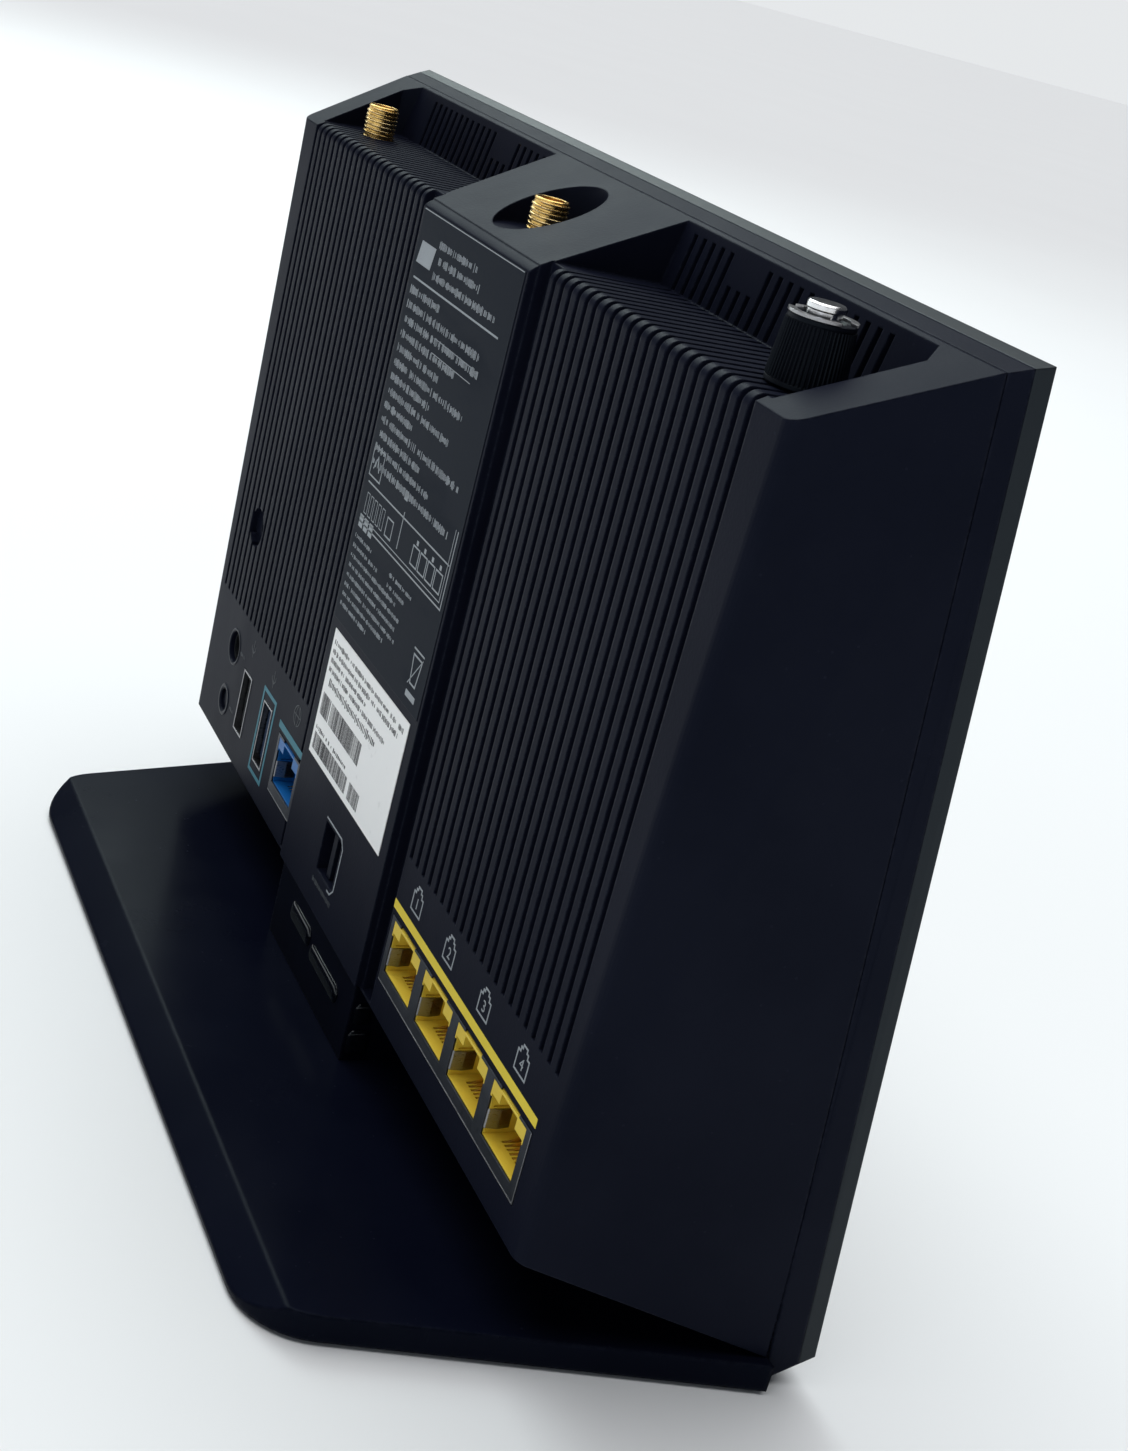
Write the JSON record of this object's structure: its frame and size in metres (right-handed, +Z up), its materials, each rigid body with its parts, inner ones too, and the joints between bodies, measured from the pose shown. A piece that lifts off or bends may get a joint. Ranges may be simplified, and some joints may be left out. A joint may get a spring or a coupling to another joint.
{
  "type": "wireless router",
  "caption": "Upright wireless router: ribbed rear housing with a leaning front panel on a flat foot, network and USB sockets, antenna connectors and push buttons.",
  "frame": {"origin": "bottom centre of the bounding box, on the surface the router stands on", "axes": "+Z up, the patterned front faces -Y, the sockets face +Y, +X is to the right seen from the front"},
  "size_m": [0.22, 0.0834, 0.16],
  "materials": {
    "shell": "fine matte texture, near black with a cool cast",
    "panel": "fine woven pattern under a satin gloss",
    "clear": "clear light guide",
    "foot": "smooth satin gloss",
    "rubber": "soft matt pads",
    "steel": "tinned and bright steel",
    "label": "printed film",
    "paper": "white printed sticker",
    "yellow": "moulded yellow plastic",
    "blue": "moulded blue plastic",
    "gold": "gold plated",
    "pale": "pale socket tongue",
    "button": "matt keycap",
    "black": "plain black moulding",
    "board": "green solder mask",
    "alloy": "extruded heat sink",
    "lamp": "indicator lamps",
    "lead": "coaxial lead jacket"
  },
  "bodies": {
    "chassis": {"rear_housing": "shell", "front_cover": "shell", "front_panel": "panel", "light_guide": "clear", "stand_neck": "foot", "foot_shell": "foot", "foot_cover": "foot", "foot_pads": "rubber", "foot_screws": "steel", "label_film": "label", "barcode_sticker": "paper", "lan_shield": "steel", "lan_insert": "yellow", "lan_contacts": "gold", "wan_shield": "steel", "wan_insert": "blue", "wan_contacts": "gold", "usb2_shell": "steel", "usb2_tongue": "pale", "usb3_shell": "steel", "usb3_tongue": "blue", "dc_jack": "black", "dc_pin": "steel", "tact_switches": "steel", "connector_left": "gold", "connector_centre": "gold", "connector_right": "gold", "antenna_nuts": "steel", "collar_stub": "steel", "coax_leads": "lead", "main_board": "board", "board_screws": "steel", "heat_sink": "alloy", "processor_chips": "black", "shield_cans": "steel", "magnetics": "black", "capacitors": "black", "status_board": "board", "status_leds": "lamp"},
    "power_key": {"power_button": "button"},
    "reset_key": {"reset_button": "button"},
    "led_key": {"led_button": "button"},
    "wps_key": {"wps_button": "button"},
    "wifi_key": {"wifi_button": "button"},
    "collar": {"antenna_collar": "black", "collar_ring": "steel"}
  },
  "joints": [
    {"name": "power_press", "type": "slide", "parent": "chassis", "child": "power_key", "axis": [0, -1, 0], "range_m": [0, 0.0007], "stiffness_N_per_m": 700},
    {"name": "reset_press", "type": "slide", "parent": "chassis", "child": "reset_key", "axis": [0, -1, 0], "range_m": [0, 0.0007], "stiffness_N_per_m": 700},
    {"name": "led_press", "type": "slide", "parent": "chassis", "child": "led_key", "axis": [0, -1, 0], "range_m": [0, 0.0007], "stiffness_N_per_m": 700},
    {"name": "wps_press", "type": "slide", "parent": "chassis", "child": "wps_key", "axis": [-1, 0, 0], "range_m": [0, 0.0007], "stiffness_N_per_m": 700},
    {"name": "wifi_press", "type": "slide", "parent": "chassis", "child": "wifi_key", "axis": [-1, 0, 0], "range_m": [0, 0.0007], "stiffness_N_per_m": 700},
    {"name": "collar_turn", "type": "hinge", "parent": "chassis", "child": "collar", "pos_m": [-0.0852, -0.0018, 0.152], "axis": [0, 0, 1], "continuous": true}
  ]
}
